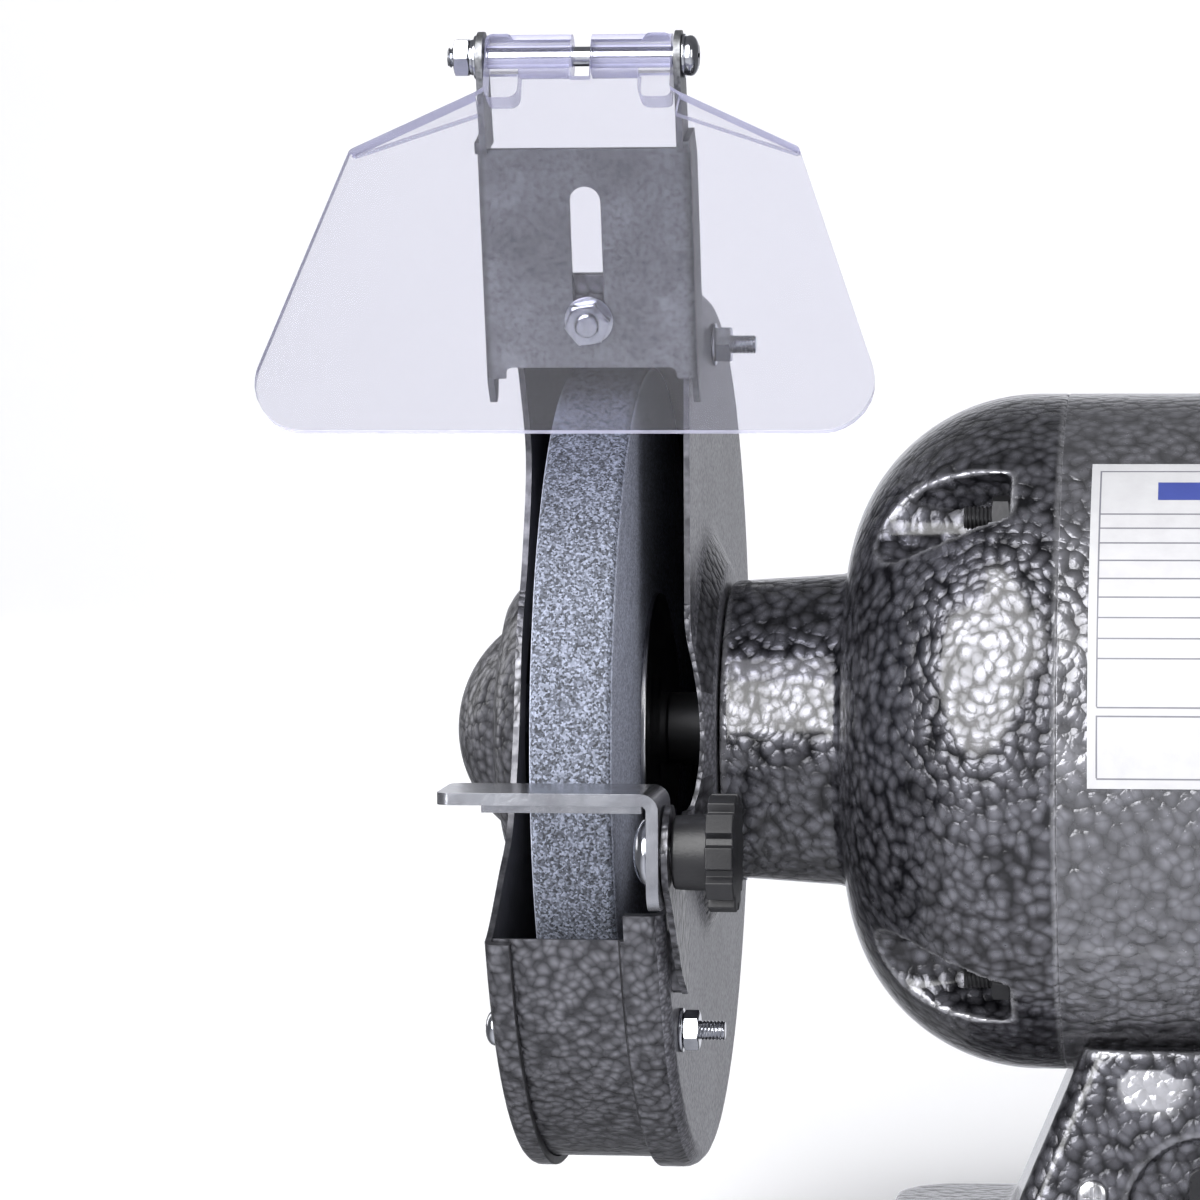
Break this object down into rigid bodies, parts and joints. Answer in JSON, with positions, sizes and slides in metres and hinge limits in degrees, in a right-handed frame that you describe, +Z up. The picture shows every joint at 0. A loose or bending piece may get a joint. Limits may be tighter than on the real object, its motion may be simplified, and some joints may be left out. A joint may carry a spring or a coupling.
{
  "type": "bench grinder",
  "caption": "Double-wheel bench grinder on a cast base, with guards, sliding tool rests, tilting clear eye shields and a front rocker switch.",
  "frame": {"origin": "on the bench, under the middle of the bounding box", "axes": "+X along the shaft to the user's right, -Y towards the user, +Z up"},
  "size_m": [0.3848, 0.1981, 0.2651],
  "materials": {
    "cast_paint": "hammered dark grey enamel on castings",
    "paint": "hammered dark grey enamel, satin gloss",
    "zinc": "bright zinc plate",
    "galvanised": "mottled galvanised sheet",
    "steel": "turned steel",
    "lamination": "stacked laminations",
    "copper": "varnished copper winding",
    "grit": "grey aluminium oxide grit",
    "rubber": "matt rubber",
    "black_plastic": "satin moulded plastic",
    "clear_plastic": "clear polycarbonate",
    "label": "satin printed film",
    "capacitor_case": "pale moulded case"
  },
  "bodies": {
    "base": {"stator_housing": "paint", "left_end_bell": "cast_paint", "right_end_bell": "cast_paint", "stator_core": "lamination", "left_winding": "copper", "right_winding": "copper", "left_bearing": "steel", "right_bearing": "steel", "rating_plate": "label", "through_bolt_front_upper": "zinc", "through_bolt_front_lower": "zinc", "through_bolt_rear_upper": "zinc", "through_bolt_rear_lower": "zinc", "left_wheel_guard": "paint", "right_wheel_guard": "paint", "left_guard_cover": "paint", "right_guard_cover": "paint", "left_guard_bolt_1": "zinc", "right_guard_bolt_1": "zinc", "left_guard_bolt_2": "zinc", "right_guard_bolt_2": "zinc", "left_guard_bolt_3": "zinc", "right_guard_bolt_3": "zinc", "left_bracket_bolt": "zinc", "right_bracket_bolt": "zinc", "base_casting": "cast_paint", "bottom_plate": "galvanised", "rubber_foot_front_left": "rubber", "rubber_foot_front_right": "rubber", "rubber_foot_rear_left": "rubber", "rubber_foot_rear_right": "rubber", "cable_gland": "black_plastic", "capacitor": "capacitor_case", "left_panel_screw": "zinc", "right_panel_screw": "zinc", "switch_body": "black_plastic"},
    "spindle": {"spindle_shaft": "steel", "rotor": "lamination", "left_grinding_wheel": "grit", "right_grinding_wheel": "grit", "left_inner_wheel_flange": "steel", "right_inner_wheel_flange": "steel", "left_outer_wheel_flange": "steel", "right_outer_wheel_flange": "steel", "left_spindle_nut": "zinc", "right_spindle_nut": "zinc"},
    "rocker": {"switch_rocker": "black_plastic"},
    "left_rest_clamp": {"left_rest_clamp_bolt": "zinc"},
    "left_rest": {"left_tool_rest": "zinc"},
    "left_knob": {"left_rest_knob": "black_plastic"},
    "left_bracket": {"left_shield_bracket": "galvanised", "left_hinge_bolt": "zinc"},
    "left_shield": {"left_eye_shield": "clear_plastic"},
    "right_rest_clamp": {"right_rest_clamp_bolt": "zinc"},
    "right_rest": {"right_tool_rest": "zinc"},
    "right_knob": {"right_rest_knob": "black_plastic"},
    "right_bracket": {"right_shield_bracket": "galvanised", "right_hinge_bolt": "zinc"},
    "right_shield": {"right_eye_shield": "clear_plastic"}
  },
  "joints": [
    {"name": "spindle_spin", "type": "hinge", "parent": "base", "child": "spindle", "pos_m": [0, 0.009, 0.124], "axis": [1, 0, 0], "continuous": true},
    {"name": "switch_rock", "type": "hinge", "parent": "base", "child": "rocker", "pos_m": [0, -0.031, 0.0297], "axis": [1, 0, 0], "range_deg": [0, 20]},
    {"name": "left_rest_tilt", "type": "hinge", "parent": "base", "child": "left_rest_clamp", "pos_m": [-0.112, -0.088, 0.1085], "axis": [1, 0, 0], "range_deg": [-8, 8]},
    {"name": "left_rest_slide", "type": "slide", "parent": "left_rest_clamp", "child": "left_rest", "axis": [0, 1, 0], "range_m": [-0.004, 0.0045]},
    {"name": "left_knob_turn", "type": "hinge", "parent": "left_rest_clamp", "child": "left_knob", "pos_m": [-0.104, -0.088, 0.1085], "axis": [1, 0, 0], "continuous": true},
    {"name": "left_bracket_slide", "type": "slide", "parent": "base", "child": "left_bracket", "axis": [0, -0.2588, 0.9659], "range_m": [-0.004, 0]},
    {"name": "left_shield_tilt", "type": "hinge", "parent": "left_bracket", "child": "left_shield", "pos_m": [-0.1325, -0.04597, 0.26031], "axis": [-1, 0, 0], "range_deg": [0, 95]},
    {"name": "right_rest_tilt", "type": "hinge", "parent": "base", "child": "right_rest_clamp", "pos_m": [0.112, -0.088, 0.1085], "axis": [1, 0, 0], "range_deg": [-8, 8]},
    {"name": "right_rest_slide", "type": "slide", "parent": "right_rest_clamp", "child": "right_rest", "axis": [0, 1, 0], "range_m": [-0.004, 0.0045]},
    {"name": "right_knob_turn", "type": "hinge", "parent": "right_rest_clamp", "child": "right_knob", "pos_m": [0.104, -0.088, 0.1085], "axis": [1, 0, 0], "continuous": true},
    {"name": "right_bracket_slide", "type": "slide", "parent": "base", "child": "right_bracket", "axis": [0, -0.2588, 0.9659], "range_m": [-0.004, 0]},
    {"name": "right_shield_tilt", "type": "hinge", "parent": "right_bracket", "child": "right_shield", "pos_m": [0.1325, -0.04597, 0.26031], "axis": [-1, 0, 0], "range_deg": [0, 95]}
  ]
}
